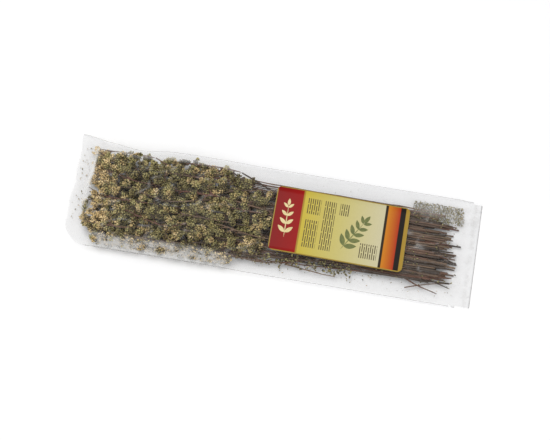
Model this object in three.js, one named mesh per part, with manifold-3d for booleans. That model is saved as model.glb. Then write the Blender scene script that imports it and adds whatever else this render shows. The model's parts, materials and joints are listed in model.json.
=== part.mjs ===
// A bundle of dried oregano lying in a clear film sleeve with a paper label.
// Millimetres, +Z up. X runs along the stems: flower heads at -X, cut ends at +X.
// The origin is on the ground, under the middle of the sleeve.
import * as THREE from "three";
import { mergeVertices } from "three/addons/utils/BufferGeometryUtils.js";
import Module from "manifold-3d";

const wasm = await Module();
wasm.setup();
const { clamp, lerp, smoothstep, seededRandom } = THREE.MathUtils;

// Film sleeve
const SLEEVE_LENGTH = 410;
const SLEEVE_WIDTH = 110;
const FILM = 0.6;
const WELD_BAND = 8;
const WELD_APPROACH = 5;
const SIDE_FOLD = 1.2;
const MOUTH_CORNER = 24;
const MOUTH_WAVE = 1.4;
const MOUTH_WAVE_RUN = 6.5;
const MOUTH_SWELL_RUN = 17;
const HALF_LENGTH = SLEEVE_LENGTH / 2;
const HALF_WIDTH = SLEEVE_WIDTH / 2;
const INSIDE_END = HALF_LENGTH - WELD_BAND - WELD_APPROACH;
const SLEEVE_STATIONS = 24;
const STATIONS_TO_ENDS = 0.55;
const STRIP_SHARES = [0.22, 0.46, 0.58, 0.7, 0.82, 0.92];

// Height of the upper film over the ground along the middle of the sleeve, as [x, height] pairs.
const CROWN = [
  [-205, 3.4], [-170, 28], [-75, 31], [-8, 23], [150, 15], [180, 13.5], [192, 3.6], [198, 0.9],
];
// Share of the half width over which each film lies flat, and height of the side folds as a share of the
// crown, as [x, share] pairs. The sleeve is fuller round the flower heads.
const FLAT_TOP = [[-60, 0.66], [10, 0.5]];
const FLAT_BACK = [[-60, 0.76], [10, 0.62]];
const FOLD_HEIGHT = [[-60, 0.28], [10, 0.2]];

// Paper label
const LABEL_LENGTH = 133;
const LABEL_WIDTH = 66;
const LABEL_CORNER = 5;
const LABEL_PAPER = 0.5;
const LABEL_GAP = 0.5;
const LABEL_MIDDLE = new THREE.Vector2(67, 1);
const LABEL_STATIONS = 8;
const LABEL_INNER_ROWS = [-0.45, 0, 0.45];

// Stems
const STEM_BUTT_RADIUS = 1.25;
const STEM_TOP_RADIUS = 0.8;
const STEM_SIDES = 4;
const STEM_STEPS = 9;
const CUT_END_X = 171;
const CUT_END_SCATTER = 9;
const LANE_POINTS_X = [130, 80, 46];
const LANE_SCATTER = 0.7;
const PASS_FROM_X = 10;
const PASS_PITCH = 36;
const PASS_SCATTER = 1.5;
const RISE_LENGTH = 24;
const STEMS_OFFSET_Y = 1;
const HEADS_OFFSET_Y = -2;
const HEADS_REACH_Y = 45;

// Flower heads stand in columns along the sleeve, each column with an upper and a lower row.
// Stems on their way to a further column pass below the heads of their row. The heights of both are
// shares of the upper film's height.
const COLUMN_COUNT = 4;
const FIRST_COLUMN_X = 8;
const COLUMN_PITCH = 44;
const ROWS = [
  { count: 4, width: 70, laneWidth: 53, laneHeight: 8.6, passShare: 0.47, headShare: 0.76 },
  { count: 3, width: 48, laneWidth: 38, laneHeight: 3.6, passShare: 0.16, headShare: 0.3 },
];
const COLUMN_STAGGER = 11;
const HEAD_LENGTH = 56;
const HEAD_TURN = 0.6;
const HEAD_SCATTER = new THREE.Vector3(9, 4, 3);
const TO_MOUTH = new THREE.Vector3(-1, 0, 0);
const TIP_SCATTER_Y = 8;
const TIP_SCATTER_Z = 4;
const AXIS_SIDES = 3;
const AXIS_STEPS = 3;
const AXIS_ROOM = 3.1;

// Spikelets: the oval cones of bracts on the ends of the side stalks
const SPIKELETS_PER_HEAD = 9;
const SPIKELET_LENGTH = 11.5;
const SPIKELET_RADIUS = 3.1;
const SPIKELET_SIDES = 3;
const WIDEST_SHARE = 0.3;
const SHOULDER_SHARE = 0.66;
const SHOULDER_TAPER = 0.85;
const STALK_RADIUS = 0.55;
const STALK_LENGTH = [2, 14];
const STALK_SPREAD = [0.45, 1.15];
const AXIS_BARE = 0.12;
const AXIS_TIP = 0.92;
const TIP_SPREAD = 0.3;
const PLACING_TRIES = 600;

const CLEARANCE = 0.45;
const FILM_CLEARANCE = 1.2;
const ROUTE_MARGIN = 1.2;
const SEED = 22;

const MATERIALS = {
  film: new THREE.MeshStandardMaterial({
    color: "#eef0f3", roughness: 0.12, metalness: 0, transparent: true, opacity: 0.25,
  }),
  paper: new THREE.MeshStandardMaterial({ color: "#e9d68a", roughness: 0.45, metalness: 0 }),
  stem: new THREE.MeshStandardMaterial({ color: "#6f5140", roughness: 0.8, metalness: 0 }),
  flower: new THREE.MeshStandardMaterial({ color: "#7f7747", roughness: 0.9, metalness: 0 }),
};

// Random draws, the same on every run
seededRandom(SEED);
const between = (low, high) => lerp(low, high, seededRandom());
const scatter = (reach) => between(-reach, reach);

// The film's form

// A curve through [x, value] pairs that is level at each pair.
function eased(pairs, x) {
  const next = pairs.findIndex(([at]) => at > x);
  if (next < 0) return pairs.at(-1)[1];
  if (next === 0) return pairs[0][1];
  const [fromX, from] = pairs[next - 1];
  const [toX, to] = pairs[next];
  return lerp(from, to, smoothstep(x, fromX, toX));
}

const crown = (x) => eased(CROWN, x);
const foldHeight = (x) => FILM + eased(FOLD_HEIGHT, x) * (crown(x) - FILM);
const acrossShare = (y) => Math.min(1, Math.abs(y) / HALF_WIDTH);

// Middle of the upper film and of the back film at a place in plan.
function upperFilm(x, y) {
  return lerp(crown(x), foldHeight(x), smoothstep(acrossShare(y), eased(FLAT_TOP, x), 1));
}
function backFilm(x, y) {
  return lerp(FILM / 2, foldHeight(x), smoothstep(acrossShare(y), eased(FLAT_BACK, x), 1));
}

// The mouth's edge waves and is rounded off at its near corner. The welded end is straight.
function mouthX(y) {
  const wave = MOUTH_WAVE * Math.sin(y / MOUTH_WAVE_RUN) * Math.cos(y / MOUTH_SWELL_RUN);
  const intoCorner = Math.max(0, MOUTH_CORNER - HALF_WIDTH - y);
  return -HALF_LENGTH + MOUTH_WAVE + wave + MOUTH_CORNER - Math.sqrt(MOUTH_CORNER ** 2 - intoCorner ** 2);
}

// Solids

const middleOf = (points) =>
  points.reduce((sum, p) => sum.add(p), new THREE.Vector3()).divideScalar(points.length);

// A closed solid through rings of points, each ring with as many points, with a fan over each end.
// The last fan rises to the tip, or is flat.
function loft(rings, tip = middleOf(rings.at(-1))) {
  const count = rings[0].length;
  const points = [...rings.flat(), middleOf(rings[0]), tip];
  const firstMiddle = points.length - 2;
  const lastRing = (rings.length - 1) * count;
  const faces = [];
  for (let j = 0; j < count; j++) {
    const k = (j + 1) % count;
    for (let i = 0; i < lastRing; i += count) {
      faces.push(i + j, i + k, i + count + k, i + j, i + count + k, i + count + j);
    }
    faces.push(firstMiddle, k, j, firstMiddle + 1, lastRing + j, lastRing + k);
  }
  return new THREE.BufferGeometry().setFromPoints(points).setIndex(faces);
}

function toSolid(geometry) {
  const bare = new THREE.BufferGeometry();
  bare.setAttribute("position", geometry.getAttribute("position"));
  bare.setIndex(geometry.index);
  const merged = mergeVertices(bare, 1e-4);
  return new wasm.Manifold(new wasm.Mesh({
    numProp: 3,
    vertProperties: merged.getAttribute("position").array,
    triVerts: new Uint32Array(merged.index.array),
  }));
}

// The largest body of a solid: loose scraps and sealed hollows are dropped.
function toGeometry(solid) {
  const [body] = solid.decompose().sort((a, b) => b.volume() - a.volume());
  const { vertProperties, triVerts } = body.getMesh();
  const geometry = new THREE.BufferGeometry();
  geometry.setAttribute("position", new THREE.BufferAttribute(vertProperties, 3));
  return geometry.setIndex(new THREE.BufferAttribute(triVerts, 1)).toNonIndexed();
}

function fused(geometries) {
  return toGeometry(wasm.Manifold.union(geometries.map(toSolid)));
}

const node = (name, geometry, material) => {
  const mesh = new THREE.Mesh(geometry, material);
  geometry.computeVertexNormals();
  mesh.name = name;
  return mesh;
};

// A tapered rod with flat ends along a curve.
function rod(curve, steps, sides, startRadius, endRadius) {
  const { normals, binormals } = curve.computeFrenetFrames(steps);
  const rings = normals.map((normal, i) => {
    const share = i / steps;
    const radius = lerp(startRadius, endRadius, share);
    return Array.from({ length: sides }, (_, j) => {
      const turn = (2 * Math.PI * j) / sides;
      return curve.getPointAt(share)
        .addScaledVector(normal, radius * Math.cos(turn))
        .addScaledVector(binormals[i], radius * Math.sin(turn));
    });
  });
  return loft(rings);
}

// Film sleeve: one skin from the end of the inside to the mouth, round its edge and back to the weld.

// One ring round the sleeve, under the back film and back over the upper film. The inside and the outside
// share their stations and strips, so that the wall between them keeps its thickness.
function sleeveRing(xAt, fold, offset) {
  const at = (y, film, lift) => new THREE.Vector3(xAt(y), y, film(xAt(y), y) + lift);
  const strips = [...STRIP_SHARES.map((share) => -share).reverse(), ...STRIP_SHARES];
  const upper = strips.map((share) => at(share * HALF_WIDTH, upperFilm, offset));
  const back = strips.map((share) => at(share * HALF_WIDTH, backFilm, -offset));
  const nearFold = at(fold - HALF_WIDTH, foldHeight, 0);
  const farFold = at(HALF_WIDTH - fold, foldHeight, 0);
  return [...back, farFold, ...upper.reverse(), nearFold];
}

function filmSleeve() {
  const stations = Array.from({ length: SLEEVE_STATIONS + 1 }, (_, i) => {
    const even = i / SLEEVE_STATIONS;
    const share = even - STATIONS_TO_ENDS * Math.sin(2 * Math.PI * even) / (2 * Math.PI);
    return (y) => lerp(mouthX(y), INSIDE_END, share);
  });
  const weld = [HALF_LENGTH - WELD_BAND, HALF_LENGTH].map((x) => () => x);
  const inside = stations.toReversed().map((xAt) => sleeveRing(xAt, SIDE_FOLD, -FILM / 2));
  const outside = [...stations, ...weld].map((xAt) => sleeveRing(xAt, 0, FILM / 2));
  return node("film_sleeve", toGeometry(toSolid(loft([...inside, ...outside]))), MATERIALS.film);
}

// Paper label: a thin plate with round corners that follows the upper film.
function paperLabel() {
  const half = LABEL_WIDTH / 2;
  const round = [0, 0.5, 1].map((share) => half - LABEL_CORNER * (1 - Math.sin(share * Math.PI / 2)));
  const middle = LABEL_INNER_ROWS.map((share) => share * half);
  const rows = [...round.map((v) => -v).reverse(), ...middle, ...round];
  const halfLength = (v) => {
    const intoCorner = Math.max(0, Math.abs(v) - half + LABEL_CORNER);
    return LABEL_LENGTH / 2 - LABEL_CORNER + Math.sqrt(LABEL_CORNER ** 2 - intoCorner ** 2);
  };
  const at = (u, v, lift) => {
    const x = LABEL_MIDDLE.x + u * halfLength(v);
    const y = LABEL_MIDDLE.y + v;
    return new THREE.Vector3(x, y, upperFilm(x, y) + FILM / 2 + LABEL_GAP + lift);
  };
  const rings = Array.from({ length: LABEL_STATIONS + 1 }, (_, i) => {
    const u = 2 * i / LABEL_STATIONS - 1;
    const top = rows.map((v) => at(u, v, LABEL_PAPER));
    const under = rows.map((v) => at(u, v, 0));
    return [...top, ...under.reverse()].reverse();
  });
  return node("paper_label", toGeometry(toSolid(loft(rings))), MATERIALS.paper);
}

// Room in the sleeve

// Everything placed so far, as capsules: a line with a radius, the plant that it belongs to and what it is.
const placed = [];
const capsule = (start, end, radius, plant, kind) =>
  ({ line: new THREE.Line3(start, end), radius, plant, kind });

function clearOf(candidate, others) {
  return others.every((other) => {
    const near = candidate.radius + other.radius + CLEARANCE;
    return other.line.distanceSqToLine3(candidate.line) > near ** 2;
  });
}

function insideFilm({ line, radius }) {
  return [0, 0.5, 1].every((share) => {
    const p = line.at(share, new THREE.Vector3());
    return [-radius, 0, radius].every((aside) => {
      const y = p.y + aside;
      const rise = aside === 0 ? radius : radius / 2;
      const highest = upperFilm(p.x, y) - FILM / 2 - FILM_CLEARANCE;
      const lowest = backFilm(p.x, y) + FILM / 2 + FILM_CLEARANCE;
      const inWidth = Math.abs(y) < HALF_WIDTH - SIDE_FOLD - FILM_CLEARANCE;
      const inLength = p.x - radius > mouthX(y) + FILM_CLEARANCE;
      return p.z + rise < highest && p.z - rise > lowest && inWidth && inLength;
    });
  });
}

// The height to keep to at a place: the wished one, or as near it as the film allows.
function heightUnderFilm(x, y, wish, room) {
  const margin = FILM / 2 + FILM_CLEARANCE + ROUTE_MARGIN + room;
  return clamp(wish, backFilm(x, y) + margin, upperFilm(x, y) - margin);
}

// Plants: a stem and the flower head on its top

// Which lane each plant's stem keeps to, and about where its head begins.
function planPlants() {
  const plants = [];
  for (let column = 0; column < COLUMN_COUNT; column++) {
    const stagger = (column % 2 - 0.5) * COLUMN_STAGGER;
    for (const row of ROWS) {
      const lanePitch = row.laneWidth / (row.count - 1) / COLUMN_COUNT;
      const laneShift = (column - (COLUMN_COUNT - 1) / 2) * lanePitch;
      for (let place = 0; place < row.count; place++) {
        const across = place / (row.count - 1) - 0.5;
        plants.push({
          number: String(plants.length + 1).padStart(2, "0"),
          row,
          lane: across * row.laneWidth + laneShift + STEMS_OFFSET_Y,
          headX: FIRST_COLUMN_X - column * COLUMN_PITCH,
          headY: across * row.width + stagger + HEADS_OFFSET_Y,
          spikelets: [],
        });
      }
    }
  }
  return plants;
}

// A stem runs from its cut end along its lane, then rises or sinks to the foot of its head.
function stemCurve({ row, lane, headX, headY }) {
  const footX = headX + scatter(HEAD_SCATTER.x);
  const footY = clamp(headY + scatter(HEAD_SCATTER.y), -HEADS_REACH_Y, HEADS_REACH_Y);
  const laneX = [CUT_END_X + scatter(CUT_END_SCATTER), ...LANE_POINTS_X];
  const route = laneX.map((x) => [x, lane + scatter(LANE_SCATTER), row.laneHeight]);
  for (let x = PASS_FROM_X; x > footX + RISE_LENGTH; x -= PASS_PITCH) {
    route.push([x, lane + scatter(PASS_SCATTER), row.passShare * crown(x) + scatter(PASS_SCATTER)]);
  }
  route.push([footX, footY, row.headShare * crown(footX) + scatter(HEAD_SCATTER.z)]);
  const points = route.map(([x, y, wish]) =>
    new THREE.Vector3(x, y, heightUnderFilm(x, y, wish, STEM_BUTT_RADIUS)));
  return new THREE.CatmullRomCurve3(points, false, "centripetal");
}

// A head's axis goes on in its stem's direction and levels out towards the sleeve's mouth.
function headCurve({ row, stem }) {
  const ahead = stem.getTangentAt(1);
  const foot = stem.getPointAt(1).addScaledVector(ahead, CLEARANCE);
  const bend = foot.clone().addScaledVector(ahead.lerp(TO_MOUTH, HEAD_TURN), HEAD_LENGTH / 3);
  const tip = foot.clone().addScaledVector(TO_MOUTH, HEAD_LENGTH);
  tip.y += scatter(TIP_SCATTER_Y);
  tip.z = row.headShare * crown(tip.x) + scatter(TIP_SCATTER_Z);
  for (const p of [bend, tip]) {
    p.y = clamp(p.y, -HEADS_REACH_Y, HEADS_REACH_Y);
    p.z = heightUnderFilm(p.x, p.y, p.z, AXIS_ROOM);
  }
  return new THREE.CatmullRomCurve3([foot, bend, tip], false, "centripetal");
}

function capsulesAlong(curve, steps, radius, plant, kind) {
  const points = curve.getSpacedPoints(steps);
  return points.slice(1).map((end, i) => capsule(points[i], end, radius, plant, kind));
}

// Draws a plant's stem and axis again until they are clear of the film and of the other plants.
function placeWood(plant) {
  for (let tries = 0; tries < PLACING_TRIES; tries++) {
    plant.stem = stemCurve(plant);
    plant.axis = headCurve(plant);
    const rooms = [
      ...capsulesAlong(plant.stem, STEM_STEPS, STEM_BUTT_RADIUS, plant, "wood"),
      ...capsulesAlong(plant.axis, AXIS_STEPS, STEM_TOP_RADIUS, plant, "wood"),
    ];
    if (rooms.every((room) => insideFilm(room) && clearOf(room, placed))) {
      placed.push(...rooms);
      return;
    }
  }
  throw new Error(`no room for plant ${plant.number}`);
}

// Tries places on a head's axis until a stalk with its spikelet is clear of everything else.
function placeSpikelet(plant) {
  const notOwnWood = placed.filter((other) => other.plant !== plant || other.kind === "spikelet");
  for (let tries = 0; tries < PLACING_TRIES; tries++) {
    const share = between(AXIS_BARE, 1);
    const along = plant.axis.getTangentAt(share);
    const aside = new THREE.Vector3(scatter(1), scatter(1), scatter(1)).cross(along).normalize();
    const spread = between(...STALK_SPREAD) * (share > AXIS_TIP ? TIP_SPREAD : 1);
    const direction = along.multiplyScalar(Math.cos(spread)).addScaledVector(aside, Math.sin(spread));
    const foot = plant.axis.getPointAt(share);
    const stalk = between(...STALK_LENGTH);
    const point = (length) => foot.clone().addScaledVector(direction, length);
    const rooms = [
      capsule(foot, point(stalk), STALK_RADIUS, plant, "wood"),
      capsule(point(stalk + SPIKELET_LENGTH * WIDEST_SHARE),
        point(stalk + SPIKELET_LENGTH - SPIKELET_RADIUS), SPIKELET_RADIUS, plant, "spikelet"),
    ];
    const free = insideFilm(rooms[1]) && rooms.every((room) => clearOf(room, notOwnWood));
    if (free) {
      placed.push(...rooms);
      plant.spikelets.push({ foot, direction, stalk });
      return;
    }
  }
}

// A side stalk with its spikelet: a thin stalk that swells to an oval cone of bracts.
function spikelet({ foot, direction, stalk }) {
  const aside = new THREE.Vector3(0, 0, 1).cross(direction).normalize();
  const upward = direction.clone().cross(aside);
  const ring = (length, radius, twist) => Array.from({ length: SPIKELET_SIDES }, (_, j) => {
    const turn = (2 * Math.PI * (j + twist)) / SPIKELET_SIDES;
    return foot.clone().addScaledVector(direction, length)
      .addScaledVector(aside, radius * Math.cos(turn))
      .addScaledVector(upward, radius * Math.sin(turn));
  });
  const rings = [
    ring(0, STALK_RADIUS, 0),
    ring(stalk, STALK_RADIUS, 0),
    ring(stalk + SPIKELET_LENGTH * WIDEST_SHARE, SPIKELET_RADIUS, 0),
    ring(stalk + SPIKELET_LENGTH * SHOULDER_SHARE, SPIKELET_RADIUS * SHOULDER_TAPER, -0.5),
  ];
  return loft(rings, foot.clone().addScaledVector(direction, stalk + SPIKELET_LENGTH));
}

// The longest stems are placed first, because the short ones have more room to give way.
function buildPlants() {
  const plants = planPlants();
  plants.toReversed().forEach(placeWood);
  for (let round = 0; round < SPIKELETS_PER_HEAD; round++) plants.forEach(placeSpikelet);
  return plants;
}

function stemMesh({ number, stem }) {
  const wood = rod(stem, STEM_STEPS, STEM_SIDES, STEM_BUTT_RADIUS, STEM_TOP_RADIUS);
  return node(`stem_${number}`, toGeometry(toSolid(wood)), MATERIALS.stem);
}

function headMesh({ number, axis, spikelets }) {
  const wood = rod(axis, AXIS_STEPS, AXIS_SIDES, STEM_TOP_RADIUS, STALK_RADIUS);
  return node(`flower_head_${number}`, fused([wood, ...spikelets.map(spikelet)]), MATERIALS.flower);
}

const bundle = new THREE.Group();
bundle.add(filmSleeve(), paperLabel());
for (const plant of buildPlants()) bundle.add(stemMesh(plant), headMesh(plant));

export default bundle;
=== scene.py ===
"""Looks of an oregano bundle in a clear film sleeve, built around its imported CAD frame.

One unit is a metre. +X runs along the stems to their cut ends, +Y is the bundle's far side, +Z is up,
and the origin lies on the ground under the middle of the sleeve.
"""

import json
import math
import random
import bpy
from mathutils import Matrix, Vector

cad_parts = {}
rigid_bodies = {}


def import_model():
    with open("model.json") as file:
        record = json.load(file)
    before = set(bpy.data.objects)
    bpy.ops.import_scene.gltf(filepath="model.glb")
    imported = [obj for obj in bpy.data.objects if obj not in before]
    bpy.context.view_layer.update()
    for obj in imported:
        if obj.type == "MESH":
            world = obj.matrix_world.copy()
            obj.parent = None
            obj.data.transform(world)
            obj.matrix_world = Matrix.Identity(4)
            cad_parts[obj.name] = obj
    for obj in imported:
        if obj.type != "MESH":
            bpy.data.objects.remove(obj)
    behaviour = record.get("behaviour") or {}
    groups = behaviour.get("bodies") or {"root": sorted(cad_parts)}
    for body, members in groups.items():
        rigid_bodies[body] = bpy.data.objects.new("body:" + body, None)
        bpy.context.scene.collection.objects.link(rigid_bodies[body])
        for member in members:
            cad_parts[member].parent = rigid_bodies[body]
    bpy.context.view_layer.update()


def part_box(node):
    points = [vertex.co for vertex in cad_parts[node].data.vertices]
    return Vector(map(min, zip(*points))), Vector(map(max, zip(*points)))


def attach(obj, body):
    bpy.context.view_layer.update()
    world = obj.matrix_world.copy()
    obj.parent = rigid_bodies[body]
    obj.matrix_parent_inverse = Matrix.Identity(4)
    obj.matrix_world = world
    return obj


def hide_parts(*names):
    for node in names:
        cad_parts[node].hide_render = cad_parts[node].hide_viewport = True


bl_info = {
    "name": "Oregano Bundle Looks",
    "version": (1, 0, 0),
    "blender": (4, 5, 0),
    "location": "View3D > Sidebar > Oregano",
    "description": "Dresses the packed oregano bundle with film, label, stems, flower heads and loose bits",
    "category": "Object",
}

import bmesh
import bpy
import numpy as np
from bpy.props import FloatProperty, FloatVectorProperty, IntProperty, PointerProperty
from mathutils import Matrix, Quaternion, Vector, noise

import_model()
CAD_NODES = sorted(obj.name for obj in bpy.data.objects if obj.type == "MESH")
STEM_NODES = [name for name in CAD_NODES if name.startswith("stem_")]
HEAD_NODES = [name for name in CAD_NODES if name.startswith("flower_head_")]

MM = 0.001
BODY = "root"

# The sleeve's form as in the part's source: heights of the upper film along its middle line.
CROWN_MM = ((-205, 3.4), (-170, 28), (-75, 31), (-8, 23), (150, 15), (180, 13.5), (192, 3.6), (198, 0.9))
CROWN = tuple((x * MM, z * MM) for x, z in CROWN_MM)
CAD_WALL = 0.6 * MM
# Shares of the half width that lie flat and of the crown at the side folds: at the heads, at the stems.
HEADS_TO_STEMS = (-60 * MM, 10 * MM)
FLAT_TOP = (0.66, 0.5)
FLAT_BACK = (0.76, 0.62)
FOLD_HEIGHT = (0.28, 0.2)
MOUTH_CORNER = 24 * MM
MOUTH_WAVE = 1.4 * MM
MOUTH_WAVE_RUN = 6.5 * MM
MOUTH_SWELL_RUN = 17 * MM
INSIDE_END = 192 * MM
# Shares of the half width by which the far side flares at the mouth and draws in round the heads.
FLARE_SHARE = 0.1
WAIST_SHARE = 0.07
SLEEVE_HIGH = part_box("film_sleeve")[1]
HALF_LENGTH = SLEEVE_HIGH[0]
HALF_WIDTH = SLEEVE_HIGH[1]

# The label's place comes from its node.
LABEL_LOW, LABEL_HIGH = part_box("paper_label")
LABEL_CORNER = 5 * MM
INK_THICKNESS = 0.03 * MM

# Blocks of printed lines, as corners in millimetres from the label's near corner at the flower heads.
PRINTED_LINES = (((32, 8), (45, 36)), ((49, 8), (60, 58)), ((32, 42), (45, 58)), ((64, 46), (74, 58)),
                 ((88, 7), (106, 22)))

# One spikelet of the CAD heads, which the finer heads read from their nodes.
SPIKELET_LENGTH = 11.5 * MM
SPIKELET_RADIUS = 3.1 * MM
SHOULDER_SHARE = 0.66
SHOULDER_TAPER = 0.85
TIP_EDGE = math.hypot((1 - SHOULDER_SHARE) * SPIKELET_LENGTH, SHOULDER_TAPER * SPIKELET_RADIUS)
TIP_TOLERANCE = 0.15 * MM

# Outline of the foliage: where it begins by the place across, and how far it reaches by the place along.
HEADS_START_MM = ((-50, -174), (-42, -177), (-30, -191), (10, -191), (24, -187), (36, -191), (50, -190))
FAR_REACH_MM = ((-189, 52), (-177, 42), (-170, 35), (-158, 41), (-141, 45), (-131, 40), (-121, 37),
                (-110, 47), (-102, 40), (-96, 48), (-84, 49), (-70, 43), (-56, 40), (-40, 41), (-30, 36),
                (-20, 20))
HEADS_START = tuple((y * MM, x * MM) for y, x in HEADS_START_MM)
FAR_REACH = tuple((x * MM, y * MM) for x, y in FAR_REACH_MM)

# Twigs that lie across the others, as starts and ends in millimetres.
STRAY_TWIGS_MM = (
    ((128, -31, 8), (171, -45, 5)), ((139, -44, 5), (176, -34, 6)), ((150, -28, 8), (183, -38, 5)),
    ((168, 27, 6), (188, 21, 5)), ((160, 8, 9), (189, 11, 6)), ((172, -8, 7), (187, -13, 6)),
    ((165, -18, 7), (182, -6, 7)), ((20, -41, 7), (70, -45, 6)), ((-120, -44, 12), (-40, -46, 9)),
)

# Loose bits: count, corners of the area in millimetres, and ranges of depth, size and tint.
BITS_MM = (
    # First row: dark bits low under the heads, partly leaf litter and partly painted shade for the gaps
    # between the heads.
    (1300, (-182, -43), (-8, 38), (0.0, 0.35), (0.9, 1.9), (0.0, 0.25)),
    (1200, (-170, -53), (-35, -43), (0.3, 1.0), (0.5, 1.1), (0.6, 1.0)),
    (1500, (137, 27), (188, 46), (0.0, 0.9), (0.18, 0.42), (0.15, 0.75)),
    (220, (-10, -43), (85, -34), (0.3, 0.95), (0.4, 1.0), (0.15, 0.55)),
    (90, (-20, -50), (190, -34), (0.0, 0.6), (0.2, 0.5), (0.2, 0.9)),
    (120, (100, -34), (188, 30), (0.6, 1.0), (0.25, 0.7), (0.1, 0.6)),
    (60, (10, -53), (190, 53), (0.0, 0.5), (0.12, 0.25), (0.0, 0.6)),
    (40, (-203, -30), (-192, 48), (0.0, 0.8), (0.2, 0.6), (0.4, 1.0)),
)


def linear(code):
    """Scene colour of an sRGB hex code."""
    shares = [int(code[at:at + 2], 16) / 255 for at in (1, 3, 5)]
    return tuple(s / 12.92 if s <= 0.04045 else ((s + 0.055) / 1.055) ** 2.4 for s in shares)


def eased(share):
    """Smooth step between 0 and 1."""
    share = min(1.0, max(0.0, share))
    return share * share * (3 - 2 * share)


def mix(low, high, share):
    """Value between two others."""
    return low + (high - low) * share


def profile(points, x):
    """Value at a place along a row of points, eased between them."""
    if x <= points[0][0]:
        return points[0][1]
    for (x0, value0), (x1, value1) in zip(points, points[1:]):
        if x <= x1:
            return mix(value0, value1, eased((x - x0) / (x1 - x0)))
    return points[-1][1]


def crown(x):
    """Height of the upper film over the middle line."""
    return profile(CROWN, x)


def along_sleeve(x, shares):
    """Share at a place between the flower heads and the stems."""
    start, end = HEADS_TO_STEMS
    return mix(*shares, eased((x - start) / (end - start)))


def fold_height(x):
    """Height of the side folds."""
    return CAD_WALL + along_sleeve(x, FOLD_HEIGHT) * (crown(x) - CAD_WALL)


def upper_film(x, y):
    """Height of the upper film."""
    share = min(1.0, abs(y) / HALF_WIDTH)
    flat = along_sleeve(x, FLAT_TOP)
    return mix(crown(x), fold_height(x), eased((share - flat) / (1 - flat)))


def back_film(x, y):
    """Height of the film under the herbs."""
    share = min(1.0, abs(y) / HALF_WIDTH)
    flat = along_sleeve(x, FLAT_BACK)
    return mix(CAD_WALL / 2, fold_height(x), eased((share - flat) / (1 - flat)))


def mouth_x(y):
    """Place of the sleeve's open edge, wavy and rounded at its near corner."""
    wave = MOUTH_WAVE * math.sin(y / MOUTH_WAVE_RUN) * math.cos(y / MOUTH_SWELL_RUN)
    into = max(0.0, MOUTH_CORNER - HALF_WIDTH - y)
    return -HALF_LENGTH + MOUTH_WAVE + wave + MOUTH_CORNER - math.sqrt(MOUTH_CORNER ** 2 - into ** 2)


def inside_film(point, margin):
    """Whether a point lies in the sleeve with some room around it."""
    x, y, z = point
    if abs(y) > HALF_WIDTH - 2 * margin or x > INSIDE_END or x < mouth_x(y) + 3 * margin:
        return False
    return back_film(x, y) + CAD_WALL / 2 + margin < z < upper_film(x, y) - CAD_WALL / 2 - margin


def over_label(x, y, rim):
    """1 over the label, fading to 0 at a distance of the rim from it."""
    outside = max(LABEL_LOW[0] - x, x - LABEL_HIGH[0], LABEL_LOW[1] - y, y - LABEL_HIGH[1], 0.0)
    return 1 - eased(outside / rim)


def deselect():
    """Leaves no object selected, in object mode."""
    if bpy.context.object and bpy.context.object.mode != "OBJECT":
        bpy.ops.object.mode_set(mode="OBJECT")
    bpy.ops.object.select_all(action="DESELECT")


def activate(obj):
    """Makes one object the only selected and active one."""
    deselect()
    obj.select_set(True)
    bpy.context.view_layer.objects.active = obj


def pick_points(obj, wanted):
    """Opens a mesh in edit mode with the wanted points selected."""
    activate(obj)
    bpy.context.tool_settings.mesh_select_mode = (True, False, False)
    bpy.ops.object.mode_set(mode="EDIT")
    bpy.ops.mesh.select_all(action="DESELECT")
    bpy.ops.object.mode_set(mode="OBJECT")
    for point in obj.data.vertices:
        point.select = wanted(point.co)
    bpy.ops.object.mode_set(mode="EDIT")


def new_object(name, mesh):
    """Links a mesh as an object at the origin."""
    obj = bpy.data.objects.new(name, mesh)
    bpy.context.scene.collection.objects.link(obj)
    return obj


def joined(name, objects):
    """Joins objects into one, named piece."""
    deselect()
    for obj in objects:
        obj.select_set(True)
    bpy.context.view_layer.objects.active = objects[0]
    bpy.ops.object.join()
    objects[0].name = name
    objects[0].data.name = name
    return objects[0]


def apply_all(obj):
    """Applies an object's modifiers in order."""
    activate(obj)
    for modifier in list(obj.modifiers):
        bpy.ops.object.modifier_apply(modifier=modifier.name)


def thickened(obj, thickness):
    """Gives a sheet its thickness, half of it to each side."""
    wall = obj.modifiers.new("wall", "SOLIDIFY")
    wall.thickness = thickness
    wall.offset = 0.0
    apply_all(obj)


def settle(obj, slot, *nodes):
    """Finished piece: it rides on the root body and stands for these nodes, which are hidden."""
    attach(obj, BODY)
    if nodes:
        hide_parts(*nodes)


def set_point_value(mesh, name, value):
    """Stores one number, or a list of them, on a mesh's points."""
    stored = mesh.attributes.get(name) or mesh.attributes.new(name, "FLOAT", "POINT")
    count = len(mesh.vertices)
    values = np.full(count, value) if np.isscalar(value) else np.asarray(value)
    stored.data.foreach_set("value", values.astype(np.float32))


def moved_copy(name, template, matrix, tint=None):
    """Object with a moved copy of a template's mesh, and its own tint."""
    mesh = template.data.copy()
    mesh.transform(matrix)
    if tint is not None:
        set_point_value(mesh, "tint", tint)
    return new_object(name, mesh)


def coordinates(mesh):
    """Points of a mesh as an array."""
    found = np.empty(len(mesh.vertices) * 3)
    mesh.vertices.foreach_get("co", found)
    return found.reshape(-1, 3)


def place_points(mesh, points):
    """Moves a mesh's points."""
    mesh.vertices.foreach_set("co", np.asarray(points).ravel())
    mesh.update()


def add_node(tree, kind, inputs=None, stops=None, **settings):
    """Adds a node with its settings, its inputs' values or links, and a colour ramp's stops."""
    made = tree.nodes.new(kind)
    for name, value in settings.items():
        setattr(made, name, value)
    for key, value in (inputs or {}).items():
        if isinstance(value, bpy.types.NodeSocket):
            tree.links.new(value, made.inputs[key])
        else:
            made.inputs[key].default_value = value
    if stops:
        elements = made.color_ramp.elements
        while len(elements) < len(stops):
            elements.new(1.0)
        for element, (place, code) in zip(elements, stops):
            element.position = place
            element.color = (*linear(code), 1.0)
    return made


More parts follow.
